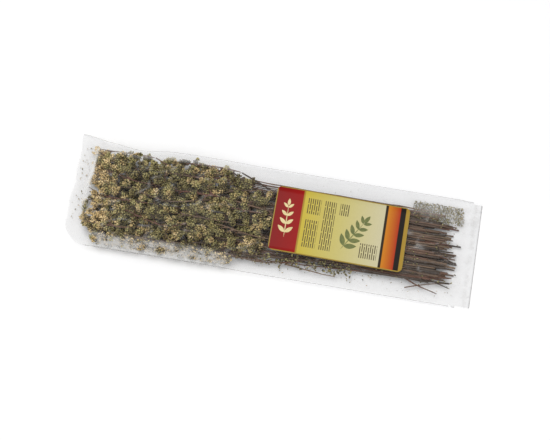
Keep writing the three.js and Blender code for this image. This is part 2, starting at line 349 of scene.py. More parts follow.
def new_material(name):
    """Material with its tree and output node, without a shader."""
    material = bpy.data.materials.new(name)
    material.use_nodes = True
    material.node_tree.nodes.clear()
    tree = material.node_tree
    return material, tree, add_node(tree, "ShaderNodeOutputMaterial")


def film_material(settings):
    """Clear polypropylene film: pale grey margins, a thin veil over the herbs, white bends and welds; the
    white line on the bend at the flower end is partly a painted highlight.
    """
    material, tree, output = new_material("oriented polypropylene film")
    coords = add_node(tree, "ShaderNodeTexCoord").outputs["Object"]
    cloud = add_node(tree, "ShaderNodeTexNoise", {"Vector": coords, "Scale": 1 / (9 * MM), "Detail": 4.0})
    haze = add_node(tree, "ShaderNodeMapRange", {"Value": cloud.outputs["Fac"], "From Min": 0.4,
                    "From Max": 0.75, "To Min": settings.haze * 0.5, "To Max": settings.haze * 2.0})
    white = add_node(tree, "ShaderNodeAttribute", attribute_name="whitening").outputs["Fac"]
    broken = add_node(tree, "ShaderNodeMapRange", {"Value": cloud.outputs["Fac"], "From Min": 0.35,
                      "From Max": 0.6})
    # Bends carries the whitening, whose line on the bend at the flower end is partly a painted highlight.
    bends = add_node(tree, "ShaderNodeMath", {0: white, 1: broken.outputs[0]}, operation="MULTIPLY")
    slope = add_node(tree, "ShaderNodeLayerWeight", {"Blend": 0.5}).outputs["Facing"]
    sheen = add_node(tree, "ShaderNodeMath", {0: slope, 1: 4.0}, operation="POWER")
    edge = add_node(tree, "ShaderNodeMath", {0: sheen.outputs[0], 1: settings.edge_gloss,
                    2: haze.outputs[0]}, operation="MULTIPLY_ADD")
    cover = add_node(tree, "ShaderNodeMath", {0: edge.outputs[0], 1: bends.outputs[0]}, operation="ADD",
                     use_clamp=True)
    clear = add_node(tree, "ShaderNodeBsdfTransparent", {"Color": (*settings.tint, 1.0)})
    surface = add_node(tree, "ShaderNodeBsdfPrincipled", {"Base Color": (*settings.veil, 1.0),
                       "Roughness": 0.14, "Specular IOR Level": 1.0, "IOR": 1.49})
    both = add_node(tree, "ShaderNodeMixShader", {0: cover.outputs[0], 1: clear.outputs[0],
                    2: surface.outputs[0]})
    tree.links.new(both.outputs[0], output.inputs["Surface"])
    return material


def shared(name, make, settings):
    """Material that several pieces use: found by its name, or else made."""
    return bpy.data.materials.get(name) or make(settings)


def crease(x, y, run, across, seed):
    """Ridged noise between 0 and 1, with runs of one length and another across."""
    return 1 - abs(noise.noise(Vector((x / run, y / across, seed))) * 1.9)


def mouth_ridge(x, y):
    """1 on the sharp bend of the film over the bundle's flower end."""
    line = -187 * MM + 3 * MM * math.sin(y / (31 * MM))
    ends = eased((y + 20 * MM) / (14 * MM)) * (1 - eased((y - 36 * MM) / (12 * MM)))
    return ends * math.exp(-((x - line) / (1.6 * MM)) ** 2)


def film_ripple(x, y, settings):
    """Height of the upper film's wrinkles, least under the label and at its edges."""
    slant = y * 0.55
    long_folds = crease(x + slant, y - 0.2 * x, 46 * MM, 13 * MM, 2.3) ** 3
    fine_folds = crease(x - slant, y + 0.35 * x, 17 * MM, 7 * MM, 7.9) ** 2
    swell = noise.noise(Vector((x / (24 * MM), y / (19 * MM), 5.5)))
    heads = 1 - eased((x + 20 * MM) / (40 * MM))
    height = 0.75 * long_folds + mix(0.25, 0.5, heads) * fine_folds + mix(0.2, 0.7, heads) * swell - 0.5
    height += 1.4 * mouth_ridge(x, y)
    weld = 1 - eased((x - 185 * MM) / (12 * MM))
    fold = 1 - min(1.0, abs(y) / HALF_WIDTH) ** 8
    return settings.wrinkle * height * weld * fold * (1 - 0.92 * over_label(x, y, 9 * MM))


def film_side(x, y):
    """Place across: the far side draws in round the heads and flares to the empty mouth."""
    if y <= 0:
        return y
    flare = FLARE_SHARE * eased((-172 * MM - x) / (33 * MM))
    waist = WAIST_SHARE * math.exp(-((x + 143 * MM) / (22 * MM)) ** 2)
    return y * (1 + flare - waist)


def film_whitening(x, y):
    """Share of light stopped by the film's white bends, its frosted near side and its weld; on the bend at
    the flower end it is partly a painted highlight.
    """
    near = eased((-y - 41 * MM) / (6 * MM)) * eased((x + 185 * MM) / (25 * MM))
    near *= 1 - eased((x + 60 * MM) / (40 * MM))
    long_folds = crease(x + y * 0.55, y - 0.2 * x, 46 * MM, 13 * MM, 2.3)
    lines = eased((long_folds - 0.93) / 0.06)
    weld = eased((x - 196 * MM) / (1.5 * MM)) * (0.5 + 0.5 * math.sin(x / (0.45 * MM)))
    crumbs = eased((x - 130 * MM) / (12 * MM)) * eased((y - 27 * MM) / (5 * MM))
    crumbs *= eased((50 * MM - y) / (6 * MM))
    veiled = 0.36 * near + 0.07 * crumbs
    # The white line on the mouth ridge is partly the creased film's whitening and partly a painted
    # highlight.
    return 0.75 * mouth_ridge(x, y) + veiled + 0.07 * lines + 0.08 * weld


def build_film(settings):
    """Film sleeve: a tube of two layers, welded across the stem end and open at the flower end."""
    deselect()
    bpy.ops.mesh.primitive_grid_add(x_subdivisions=190, y_subdivisions=136, size=1)
    film = bpy.context.object
    film.name = film.data.name = "clear_film_sleeve"
    points = []
    whitening = []
    for u, v, _ in coordinates(film.data):
        around = 2 * (v + 0.5)
        upper = around <= 1
        y = HALF_WIDTH * (2 * around - 1 if upper else 3 - 2 * around)
        along = u + 0.5
        x = mix(mouth_x(y), HALF_LENGTH, along)
        ripple = film_ripple(x, y, settings)
        if upper:
            z = upper_film(x, y) + ripple
        else:
            z = back_film(x, y) + max(0.0, 0.4 * ripple)
        if along > 0.9999:
            z = CAD_WALL
        points.append((x, film_side(x, y), max(z, CAD_WALL / 4)))
        whitening.append(film_whitening(x, y) if upper else 0.0)
    place_points(film.data, points)
    set_point_value(film.data, "whitening", whitening)
    activate(film)
    bpy.ops.object.mode_set(mode="EDIT")
    bpy.ops.mesh.select_all(action="SELECT")
    bpy.ops.mesh.remove_doubles(threshold=0.02 * MM)
    bpy.ops.mesh.normals_make_consistent(inside=False)
    bpy.ops.object.mode_set(mode="OBJECT")
    thickened(film, settings.thickness)
    bpy.ops.object.shade_smooth()
    film.data.materials.append(film_material(settings))
    settle(film, "film", "film_sleeve")


def box_mask(tree, u, v, low, high):
    """1 inside a box of the print, from its low to its high corner in millimetres."""
    sides = []
    for socket, start, end in ((u, low[0], high[0]), (v, low[1], high[1])):
        middle = (start + end) / 2
        sides.append(add_node(tree, "ShaderNodeMath", {0: socket, 1: middle, 2: (end - start) / 2},
                              operation="COMPARE"))
    both = add_node(tree, "ShaderNodeMath", {0: sides[0].outputs[0], 1: sides[1].outputs[0]},
                    operation="MULTIPLY")
    return both.outputs[0]


def painted(tree, below, over, mask):
    """Colour with another laid over it by a mask."""
    laid = add_node(tree, "ShaderNodeMix", {0: mask, 6: below, 7: over}, data_type="RGBA")
    return laid.outputs[2]


def label_material(settings):
    """Coated label paper: a red end panel, a yellow field that fades to cream, dark and orange bands."""
    material, tree, output = new_material("offset printed label paper")
    coords = add_node(tree, "ShaderNodeTexCoord").outputs["Object"]
    flat = add_node(tree, "ShaderNodeMapping", {"Vector": coords, "Scale": (1 / MM, 1 / MM, 1 / MM),
                    "Location": (-LABEL_LOW[0] / MM, -LABEL_LOW[1] / MM, 0)})
    split = add_node(tree, "ShaderNodeSeparateXYZ", {0: flat.outputs[0]})
    u, v = split.outputs[0], split.outputs[1]
    length = (LABEL_HIGH[0] - LABEL_LOW[0]) / MM
    width = (LABEL_HIGH[1] - LABEL_LOW[1]) / MM
    share = add_node(tree, "ShaderNodeMath", {0: u, 1: length}, operation="DIVIDE").outputs[0]
    colour = add_node(tree, "ShaderNodeValToRGB", {"Fac": share}, stops=(
        (0.0, "#7c0806"), (0.2, "#920b09"), (0.2001, "#a08130"), (0.212, "#a08130"), (0.2121, "#bfab3d"),
        (0.5, "#c0b56f"), (0.82, "#c5be9b"), (0.8201, "#2c2418"), (0.836, "#2c2418"), (0.8361, "#c67d1d"),
        (0.93, "#a83418"), (0.9301, "#1a1510"), (0.97, "#1a1510"), (0.9701, "#a08130"))).outputs[0]
    turned = add_node(tree, "ShaderNodeCombineXYZ", {0: v, 1: u}).outputs[0]
    rules = add_node(tree, "ShaderNodeTexBrick", {"Vector": turned, "Scale": 1.0, "Brick Width": 13.0,
                     "Row Height": 2.1, "Mortar Size": 0.62, "Mortar Smooth": 0.05, "Bias": 0.0,
                     "Color1": (1, 1, 1, 1), "Color2": (1, 1, 1, 1), "Mortar": (0, 0, 0, 1)})
    ink = (*linear("#4f4630"), 1.0)
    for low, high in PRINTED_LINES:
        area = box_mask(tree, u, v, low, high)
        printed = add_node(tree, "ShaderNodeMath", {0: area, 1: rules.outputs["Fac"]}, operation="SUBTRACT",
                           use_clamp=True)
        colour = painted(tree, colour, ink, printed.outputs[0])
    inner = box_mask(tree, u, v, (1.0, 1.0), (length - 1.0, width - 1.0))
    colour = painted(tree, (*linear("#9b8238"), 1.0), colour, inner)
    grain = add_node(tree, "ShaderNodeTexNoise", {"Vector": coords, "Scale": 1 / (1.4 * MM), "Detail": 4.0})
    tone = add_node(tree, "ShaderNodeMapRange", {"Value": grain.outputs["Fac"], "To Min": 0.93,
                    "To Max": 1.05})
    colour = add_node(tree, "ShaderNodeVectorMath", {0: colour, 1: tone.outputs[0]}, operation="MULTIPLY")
    surface = add_node(tree, "ShaderNodeBsdfPrincipled", {"Base Color": colour.outputs[0],
                       "Roughness": settings.gloss, "Specular IOR Level": 0.15})
    tree.links.new(surface.outputs[0], output.inputs["Surface"])
    return material


def ink_material(name, code, other):
    """Printing ink over paper: a colour that clouds slightly, with the paper's low gloss."""
    material, tree, output = new_material(name)
    coords = add_node(tree, "ShaderNodeTexCoord").outputs["Object"]
    cloud = add_node(tree, "ShaderNodeTexNoise", {"Vector": coords, "Scale": 1 / (3 * MM), "Detail": 2.0})
    colour = add_node(tree, "ShaderNodeValToRGB", {"Fac": cloud.outputs["Fac"]},
                      stops=((0.35, code), (0.7, other)))
    surface = add_node(tree, "ShaderNodeBsdfPrincipled", {"Base Color": colour.outputs[0],
                       "Roughness": 0.42})
    tree.links.new(surface.outputs[0], output.inputs["Surface"])
    return material


def label_under(x, y):
    """Height of the label's lower face, just over the film."""
    wave = 0.12 * MM * noise.noise(Vector((x / (30 * MM), y / (22 * MM), 1.7)))
    return upper_film(x, y) + 0.55 * MM + wave


def label_half_length(y):
    """Half of the label's length at a distance from its middle line, less at its round corners."""
    half = (LABEL_HIGH[1] - LABEL_LOW[1]) / 2
    into = max(0.0, abs(y - (LABEL_LOW[1] + LABEL_HIGH[1]) / 2) - half + LABEL_CORNER)
    saved = LABEL_CORNER - math.sqrt(max(0.0, LABEL_CORNER ** 2 - into ** 2))
    return (LABEL_HIGH[0] - LABEL_LOW[0]) / 2 - saved


def printed_leaf(ink, middle, length, width, turn, lift):
    """Flat leaf of ink on the label."""
    deselect()
    bpy.ops.mesh.primitive_circle_add(vertices=14, radius=0.5, fill_type="NGON")
    leaf = bpy.context.object
    points = []
    for x, y, _ in coordinates(leaf.data):
        along = x * length
        side = y * width * (1 - 0.55 * abs(2 * x) ** 3) * (1 - 0.25 * (2 * x))
        px = middle[0] + along * math.cos(turn) - side * math.sin(turn)
        py = middle[1] + along * math.sin(turn) + side * math.cos(turn)
        points.append((px, py, label_under(px, py) + lift))
    place_points(leaf.data, points)
    thickened(leaf, INK_THICKNESS)
    leaf.data.materials.append(ink)
    return leaf


def printed_sprig(ink, foot, turn, length, pairs, leaf_length, lift):
    """Sprig of ink: a thin stalk with pairs of leaves that get smaller to its tip."""
    ahead = Vector((math.cos(turn), math.sin(turn)))
    middle = foot + ahead * length / 2
    leaves = [printed_leaf(ink, middle, length, 0.9 * MM, turn, lift)]
    for pair in range(pairs):
        share = (pair + 0.6) / pairs
        size = leaf_length * mix(1.0, 0.6, share)
        for side in (-1, 1):
            lean = turn + side * 0.85
            start = foot + ahead * length * share
            centre = start + Vector((math.cos(lean), math.sin(lean))) * size * 0.55
            leaves.append(printed_leaf(ink, centre, size, size * 0.42, lean, lift))
    tip = foot + ahead * (length + leaf_length * 0.25)
    leaves.append(printed_leaf(ink, tip, leaf_length * 0.7, leaf_length * 0.3, turn, lift))
    return leaves


def build_label(settings):
    """Paper label: a rounded rectangle lying on the film, with a printed sprig on each field."""
    deselect()
    bpy.ops.mesh.primitive_grid_add(x_subdivisions=96, y_subdivisions=56, size=1)
    label = bpy.context.object
    middle_x = (LABEL_LOW[0] + LABEL_HIGH[0]) / 2
    points = []
    for u, v, _ in coordinates(label.data):
        y = mix(LABEL_LOW[1], LABEL_HIGH[1], 0.5 + 0.5 * math.sin(math.pi * v))
        x = middle_x + 2 * u * label_half_length(y)
        points.append((x, y, label_under(x, y) + settings.thickness / 2))
    place_points(label.data, points)
    thickened(label, settings.thickness)
    bpy.ops.object.shade_smooth_by_angle(angle=math.radians(35))
    label.data.materials.append(label_material(settings))
    olive = ink_material("olive printing ink", "#555f26", "#6d7233")
    cream = ink_material("cream printing ink", "#d9c992", "#cdb97f")
    lift = settings.thickness + INK_THICKNESS
    corner = Vector((LABEL_LOW[0], LABEL_LOW[1]))
    pieces = [label]
    pieces += printed_sprig(olive, corner + Vector((70, 12)) * MM, 1.0, 38 * MM, 5, 13 * MM, lift)
    pieces += printed_sprig(cream, corner + Vector((13.5, 14)) * MM, 1.57, 34 * MM, 4, 10 * MM, lift)
    settle(joined("printed_paper_label", pieces), "label", "paper_label")


def bark_material(settings):
    """Dry woody stem: grey-brown bark with lengthwise fibres, redder on some stems, dull."""
    material, tree, output = new_material("dry oregano stem bark")
    coords = add_node(tree, "ShaderNodeTexCoord").outputs["Object"]
    fibre = settings.fibre
    stretched = add_node(tree, "ShaderNodeMapping", {"Vector": coords,
                         "Scale": (0.03 / fibre, 1 / fibre, 1 / fibre)})
    strands = add_node(tree, "ShaderNodeTexNoise", {"Vector": stretched.outputs[0], "Scale": 1.0,
                       "Detail": 5.0, "Roughness": 0.65})
    tint = add_node(tree, "ShaderNodeAttribute", attribute_name="tint").outputs["Fac"]
    base = add_node(tree, "ShaderNodeValToRGB", {"Fac": tint}, stops=(
        (0.0, "#3a3029"), (0.35, "#57483c"), (0.6, "#6a5443"), (0.8, "#5f3a2b"), (1.0, "#7d6a55")))
    streak = add_node(tree, "ShaderNodeMapRange", {"Value": strands.outputs["Fac"], "From Min": 0.3,
                      "From Max": 0.72, "To Min": 0.45, "To Max": 1.45})
    colour = add_node(tree, "ShaderNodeVectorMath", {0: base.outputs[0], 1: streak.outputs[0]},
                      operation="MULTIPLY")
    relief = add_node(tree, "ShaderNodeBump", {"Height": strands.outputs["Fac"], "Strength": 0.5,
                      "Distance": 0.25 * MM})
    surface = add_node(tree, "ShaderNodeBsdfPrincipled", {"Base Color": colour.outputs[0],
                       "Roughness": 0.68, "Normal": relief.outputs[0]})
    tree.links.new(surface.outputs[0], output.inputs["Surface"])
    return material


def pith_material():
    """Cut end of a stem: pale, dry pith with a speckle."""
    material, tree, output = new_material("cut stem pith")
    coords = add_node(tree, "ShaderNodeTexCoord").outputs["Object"]
    speckle = add_node(tree, "ShaderNodeTexNoise", {"Vector": coords, "Scale": 1 / (0.5 * MM),
                       "Detail": 2.0})
    colour = add_node(tree, "ShaderNodeValToRGB", {"Fac": speckle.outputs["Fac"]},
                      stops=((0.35, "#8f7a58"), (0.65, "#c9b78f")))
    surface = add_node(tree, "ShaderNodeBsdfPrincipled", {"Base Color": colour.outputs[0],
                       "Roughness": 0.85})
    tree.links.new(surface.outputs[0], output.inputs["Surface"])
    return material


def bract_material(settings):
    """Dry bracts: tan, khaki and grey-green by spikelet, with brown mottling; darkened towards their bases
    as painted shade and brightened towards their tips as painted highlight, partly their own paler tips.
    """
    material, tree, output = new_material("dry oregano bracts")
    coords = add_node(tree, "ShaderNodeTexCoord").outputs["Object"]
    mottle = add_node(tree, "ShaderNodeTexNoise", {"Vector": coords, "Scale": 1 / settings.mottle,
                      "Detail": 3.0})
    tint = add_node(tree, "ShaderNodeAttribute", attribute_name="tint").outputs["Fac"]
    spread = add_node(tree, "ShaderNodeMapRange", {"Value": mottle.outputs["Fac"], "From Min": 0.3,
                      "From Max": 0.7, "To Min": -0.12, "To Max": 0.12})
    varied = add_node(tree, "ShaderNodeMath", {0: tint, 1: spread.outputs[0]}, operation="ADD",
                      use_clamp=True)
    base = add_node(tree, "ShaderNodeValToRGB", {"Fac": varied.outputs[0]}, stops=(
        (0.0, "#4e3f22"), (0.2, "#706440"), (0.42, "#948a5c"), (0.6, "#aba26b"), (0.78, "#c6ab76"),
        (1.0, "#e6ce9c")))
    tip = add_node(tree, "ShaderNodeAttribute", attribute_name="tip").outputs["Fac"]
    # Painted shade and highlight: each bract's colour is darkened towards its base and brightened towards
    # its tip, partly the bracts' own paler tips.
    shade = add_node(tree, "ShaderNodeMapRange", {"Value": tip, "From Min": 0.1, "From Max": 1.0,
                     "To Min": 0.18, "To Max": 1.66})
    colour = add_node(tree, "ShaderNodeVectorMath", {0: base.outputs[0], 1: shade.outputs[0]},
                      operation="MULTIPLY")
    surface = add_node(tree, "ShaderNodeBsdfPrincipled", {"Base Color": colour.outputs[0],
                       "Roughness": 0.78})
    tree.links.new(surface.outputs[0], output.inputs["Surface"])
    return material


def rod_template(name, sides, rings, joints, materials):
    """Rod of length and radius 1 along Z, four-angled, with thicker joints and the cut ends marked."""
    deselect()
    bpy.ops.mesh.primitive_cylinder_add(vertices=sides, radius=1, depth=1, location=(0, 0, 0.5))
    rod = bpy.context.object
    rod.name = name
    bpy.ops.object.transform_apply(location=True)
    bpy.context.tool_settings.mesh_select_mode = (False, True, False)
    bpy.ops.object.mode_set(mode="EDIT")
    bpy.ops.mesh.select_all(action="DESELECT")
    bpy.ops.object.mode_set(mode="OBJECT")
    points = rod.data.vertices
    for edge in rod.data.edges:
        low, high = (points[at].co.z for at in edge.vertices)
        edge.select = abs(high - low) > 0.5
    bpy.ops.object.mode_set(mode="EDIT")
    bpy.ops.mesh.subdivide(number_cuts=rings - 1)
    bpy.ops.object.mode_set(mode="OBJECT")
    for material in materials:
        rod.data.materials.append(material)
    for face in rod.data.polygons:
        cut = abs(face.normal.z) > 0.9
        face.material_index = 1 if cut and len(materials) > 1 else 0
        face.use_smooth = not cut
    if sides == 8:
        pick_points(rod, lambda co: abs(abs(co.x) - abs(co.y)) > 0.1)
        bpy.ops.transform.resize(value=(0.84, 0.84, 1))
    for joint in joints:
        ring = round(joint * rings) / rings
        pick_points(rod, lambda co: abs(co.z - ring) < 0.3 / rings)
        bpy.ops.transform.resize(value=(1.28, 1.28, 1))
    bpy.ops.object.mode_set(mode="OBJECT")
    return rod


def swept(template, line, start_radius, end_radius, tint):
    """Copy of a rod's mesh laid along a line of points, with its radius changing from end to end."""
    line = np.asarray([tuple(point) for point in line])
    steps = np.linalg.norm(np.diff(line, axis=0), axis=1)
    walked = np.concatenate(([0.0], np.cumsum(steps))) / steps.sum()
    flat = coordinates(template.data)
    share = flat[:, 2]

    def at(places):
        return np.stack([np.interp(places, walked, line[:, axis]) for axis in range(3)], axis=1)

    ahead = at(np.clip(share + 0.02, 0, 1)) - at(np.clip(share - 0.02, 0, 1))
    ahead /= np.linalg.norm(ahead, axis=1)[:, None]
    whole = line[-1] - line[0]
    upright = abs(whole[2]) > 0.8 * np.linalg.norm(whole)
    reference = np.array((1.0, 0.0, 0.0) if upright else (0.0, 0.0, 1.0))
    side = np.cross(ahead, reference)
    side /= np.linalg.norm(side, axis=1)[:, None]
    up = np.cross(side, ahead)
    radius = (start_radius + (end_radius - start_radius) * share)[:, None]
    mesh = template.data.copy()
    place_points(mesh, at(share) + radius * (side * flat[:, :1] + up * flat[:, 1:2]))
    set_point_value(mesh, "tint", tint)
    return mesh


def smooth_line(points, samples):
    """Catmull-Rom line through points."""
    points = [Vector(point) for point in points]
    ends = [2 * points[0] - points[1], *points, 2 * points[-1] - points[-2]]
    line = []
    spans = len(points) - 1
    for sample in range(samples + 1):
        place = min(sample / samples * spans, spans - 1e-6)
        at = int(place)
        t = place - at
        a, b, c, d = ends[at:at + 4]
        line.append(0.5 * (2 * b + (c - a) * t + (2 * a - 5 * b + 4 * c - d) * t ** 2
                           + (3 * b - a - 3 * c + d) * t ** 3))
    return line


def crooked(line, depth, seed):
    """Line with slight crooks, as a stem grows from joint to joint."""
    bent = []
    walked = 0.0
    before = line[0]
    for point in line:
        walked += (point - before).length
        before = point
        spot = Vector((walked / (17 * MM), seed * 3.7, 0.0))
        offset = Vector((0.0, noise.noise(spot), noise.noise(spot + Vector((0.0, 0.0, 9.0)))))
        bent.append(point + depth * offset)
    return bent


def stem_line(node):
    """Centre line of a CAD stem, from its cut end to its head, from the rings of its node."""
    mesh = bpy.data.objects[node].data
    places = sorted({tuple(round(value, 6) for value in point.co) for point in mesh.vertices}, reverse=True)
    rings = [[places[0]]]
    for place in places[1:]:
        if rings[-1][-1][0] - place[0] > 5 * MM:
            rings.append([])
        rings[-1].append(place)
    return [sum((Vector(place) for place in ring), Vector()) / len(ring) for ring in rings]


def build_stems(settings):
    """Stems: one finer, jointed stem for each stem node, and thin companion stems between them."""
    rng = random.Random(settings.seed)
    bark = shared("dry oregano stem bark", bark_material, settings)
    pith = pith_material()
    rod = rod_template("stem_rod", 8, 30, (0.13, 0.37, 0.63, 0.9), (bark, pith))
    lines = {}
    for name in STEM_NODES:
        lines[name] = smooth_line(stem_line(name), 40)
        line = crooked(lines[name], 0.45 * MM, len(lines))
        thick = rng.uniform(0.9, 1.15)
        mesh = swept(rod, line, 1.3 * MM * thick, 0.8 * MM * thick, rng.random())
        settle(new_object("woody_" + name, mesh), "stem", name)
    companions = []
    for line in lines.values():
        for _ in range(settings.companions):
            first = rng.randrange(0, 6)
            last = rng.randrange(26, 40)
            shift = Vector((rng.uniform(-9, 14) * MM, rng.choice((-1, 1)) * rng.uniform(1.2, 2.6) * MM,
                            rng.uniform(-2.4, 2.2) * MM))
            companions.append([point + shift for point in line[first:last:2]])
    for _ in range(settings.near_stems):
        start = Vector((rng.uniform(150, 186), rng.uniform(-35, -24), rng.uniform(3.5, 8))) * MM
        middle = Vector((rng.uniform(50, 90), rng.uniform(-37, -29), rng.uniform(5, 10))) * MM
        end = Vector((rng.uniform(-150, -20), rng.uniform(-46, -35), rng.uniform(7, 14))) * MM
        companions.append(smooth_line((start, middle, end), 20))
    for _ in range(settings.low_stems):
        start = Vector((rng.uniform(158, 187), rng.uniform(-30, 27), rng.uniform(2.2, 7))) * MM
        end = Vector((rng.uniform(-20, 70), start.y / MM * 1.05, rng.uniform(4, 9))) * MM
        companions.append(smooth_line((start, (start + end) / 2, end), 20))
    for start, end in STRAY_TWIGS_MM:
        start, end = Vector(start) * MM, Vector(end) * MM
        bow = (start + end) / 2 + Vector((0, rng.uniform(-1.5, 1.5), 0.4)) * MM
        companions.append(smooth_line((start, bow, end), 8))
    thin = []
    for line in companions:
        if all(inside_film(point, 0.9 * MM) for point in line):
            crooks = crooked(line, 0.9 * MM, rng.uniform(0, 50))
            mesh = swept(rod, crooks, rng.uniform(0.6, 1.05) * MM, 0.45 * MM, rng.random())
            thin.append(new_object("companion", mesh))
    settle(joined("thin_companion_stems", thin), "stem")
    bpy.data.objects.remove(rod)


def bract_template(settings):
    """One bract: a keeled, cupped scale that stands on the origin along Z, its outer side to +Y."""
    deselect()
    length, width, depth = settings.bract_length, settings.bract_width, settings.bract_depth
    bpy.ops.mesh.primitive_uv_sphere_add(segments=4, ring_count=3, radius=0.5)
    bract = bpy.context.object
    bpy.ops.object.mode_set(mode="EDIT")
    bpy.ops.mesh.select_all(action="SELECT")
    bpy.ops.transform.resize(value=(width / 0.866, depth / 0.866, length))
    bpy.ops.transform.translate(value=(0, 0, length / 2))
    pick_points(bract, lambda co: co.y < -0.1 * depth)
    bpy.ops.transform.translate(value=(0, 0.75 * depth, 0))
    pick_points(bract, lambda co: 0.6 * length < co.z)
    bpy.ops.transform.translate(value=(0, 0.18 * length, 0))
    pick_points(bract, lambda co: 0.9 * length < co.z)
    bpy.ops.transform.translate(value=(0, 0.05 * length, 0))
    bpy.ops.object.mode_set(mode="OBJECT")
    set_point_value(bract.data, "tip", coordinates(bract.data)[:, 2] / length)
    return bract


def spikelet_template(settings, material):
    """One spikelet along Z: overlapping bracts in turned tiers around a short core."""
    bract = bract_template(settings)
    length = settings.spikelet_length
    deselect()
    bpy.ops.mesh.primitive_cone_add(vertices=4, radius1=0.7 * MM, radius2=0.3 * MM, depth=length * 0.7,
                                    location=(0, 0, length * 0.4))
    bpy.ops.object.transform_apply(location=True)
    pieces = [bpy.context.object]
    tiers = ((0.0, 3, 0.62, 0.9), (0.17, 3, 0.55, 1.05), (0.36, 3, 0.45, 1.05), (0.54, 2, 0.32, 0.95),
             (0.68, 2, 0.16, 0.8))
    rng = random.Random(settings.seed)
    for tier, (height, count, lean, size) in enumerate(tiers):
        for turn in range(count):
            angle = math.tau * (turn / count) + tier * 1.05 + rng.uniform(-0.2, 0.2)
            matrix = (Matrix.Translation((0, 0, height * length)) @ Matrix.Rotation(angle, 4, "Z")
                      @ Matrix.Rotation(-lean - rng.uniform(-0.12, 0.12), 4, "X") @ Matrix.Scale(size, 4))
            pieces.append(moved_copy("bract", bract, matrix))
    spikelet = joined("spikelet", pieces)
    bpy.ops.object.shade_smooth()
    spikelet.data.materials.append(material)
    bpy.data.objects.remove(bract)
    return spikelet


def spikelet_places(node):
    """Base and direction of each spikelet of a CAD head, and the head's mesh without them."""
    solid = bmesh.new()
    solid.from_mesh(bpy.data.objects[node].data)
    bmesh.ops.remove_doubles(solid, verts=solid.verts, dist=0.005 * MM)
    places = []
    for point in solid.verts:
        reach = [edge.calc_length() for edge in point.link_edges]
        if len(reach) == 3 and all(abs(length - TIP_EDGE) < TIP_TOLERANCE for length in reach):
            ring = [edge.other_vert(point).co for edge in point.link_edges]
            ahead = (point.co - sum(ring, Vector()) / 3).normalized()
            places.append((point.co - ahead * SPIKELET_LENGTH, ahead))
    gone = []
    for face in solid.faces:
        middle = face.calc_center_median()
        for base, ahead in places:
            along = (middle - base).dot(ahead)
            aside = (middle - base - ahead * along).length
            if 0.4 * MM < along and aside < SPIKELET_RADIUS:
                gone.append(face)
                break
    bmesh.ops.delete(solid, geom=gone, context="FACES")
    bmesh.ops.holes_fill(solid, edges=[edge for edge in solid.edges if edge.is_boundary], sides=0)
    twigs = bpy.data.meshes.new("twigs")
    solid.to_mesh(twigs)
    solid.free()
    return places, twigs


def turned_to(ahead, spin):
    """Rotation that takes Z to a direction, spun about it."""
    return Vector((0, 0, 1)).rotation_difference(ahead) @ Quaternion((0, 0, 1), spin)


def strayed(ahead, angle, turn):
    """Direction at an angle from another, turned about it."""
    side = ahead.orthogonal().normalized()
    return (ahead * math.cos(angle) + (Quaternion(ahead, turn) @ side) * math.sin(angle)).normalized()


def head_tint(spot, rng):
    """Colour place of a spikelet: tan at the mouth, then olive in paler and darker patches."""
    patch = 0.4 * noise.noise(Vector((spot.x / (27 * MM), spot.y / (18 * MM), 6.1)))
    mean = mix(0.9, 0.47, eased((spot.x + 190 * MM) / (55 * MM))) + patch
    return min(1.0, max(0.0, rng.gauss(mean, 0.2)))


def corymb(base, ahead, count, rng, settings):
    """Placements and tints of the small spikelets that crowd at the end of one stalk."""
    placed = []
    spin = rng.uniform(0, math.tau)
    for part in range(count):
        middle = part == 0
        lean = rng.uniform(0, 0.12) if middle else rng.uniform(0.4, 0.95)
        direction = strayed(ahead, lean, spin + part * 2.4)
        start = base + ahead * (rng.uniform(2.5, 4.0) if middle else rng.uniform(-0.5, 4.0)) * MM
        size = rng.uniform(0.75, 1.1)
        end = start + direction * settings.spikelet_length * size
        roomy = inside_film(end, 1.1 * MM) and inside_film(start, 1.4 * MM)
        if not roomy or end.x < profile(HEADS_START, end.y):
            continue
        matrix = (Matrix.Translation(start) @ turned_to(direction, rng.uniform(0, 6)).to_matrix().to_4x4()
                  @ Matrix.Diagonal((size * rng.uniform(0.85, 1.2), size * rng.uniform(0.85, 1.2), size, 1)))
        placed.append((matrix, head_tint(start, rng)))
    return placed


def in_foliage(x, y):
    """Whether a spot lies in the outline of the flower heads, which narrows to the label."""
    near = mix(-51 * MM, -33 * MM, eased((x + 75 * MM) / (55 * MM)))
    return profile(HEADS_START, y) + 4 * MM < x < -8 * MM and near < y < profile(FAR_REACH, x)


def spread_stalks(stalks, settings, rng):
    """Heads, feet and ends of the side stalks that fill the thin places of the foliage."""
    counts = {}

    def cell(point):
        return round(point[0] / settings.fill_cell), round(point[1] / settings.fill_cell)

    for _, base, ahead in stalks:
        spot = cell(base + ahead * SPIKELET_LENGTH * 0.6)
        counts[spot] = counts.get(spot, 0) + 1
    made = []
    for _ in range(settings.fill_tries):
        x = rng.uniform(-196, 0) * MM
        y = rng.uniform(-51, 50) * MM
        if not in_foliage(x, y) or counts.get(cell((x, y)), 0) >= settings.fill_depth:
            continue
        low, high = back_film(x, y) + 2.2 * MM, upper_film(x, y) - 2.4 * MM
        if high < low:
            continue
        end = Vector((x, y, mix(low, high, rng.uniform(0.35, 1.0))))
        head, base, ahead = min(stalks, key=lambda stalk: (stalk[1] - end).length)
        if (base - end).length > settings.fill_reach:
            continue
        counts[cell(end)] = counts.get(cell(end), 0) + 1
        made.append((head, base - ahead * rng.uniform(0, 2) * MM, end))
    return made


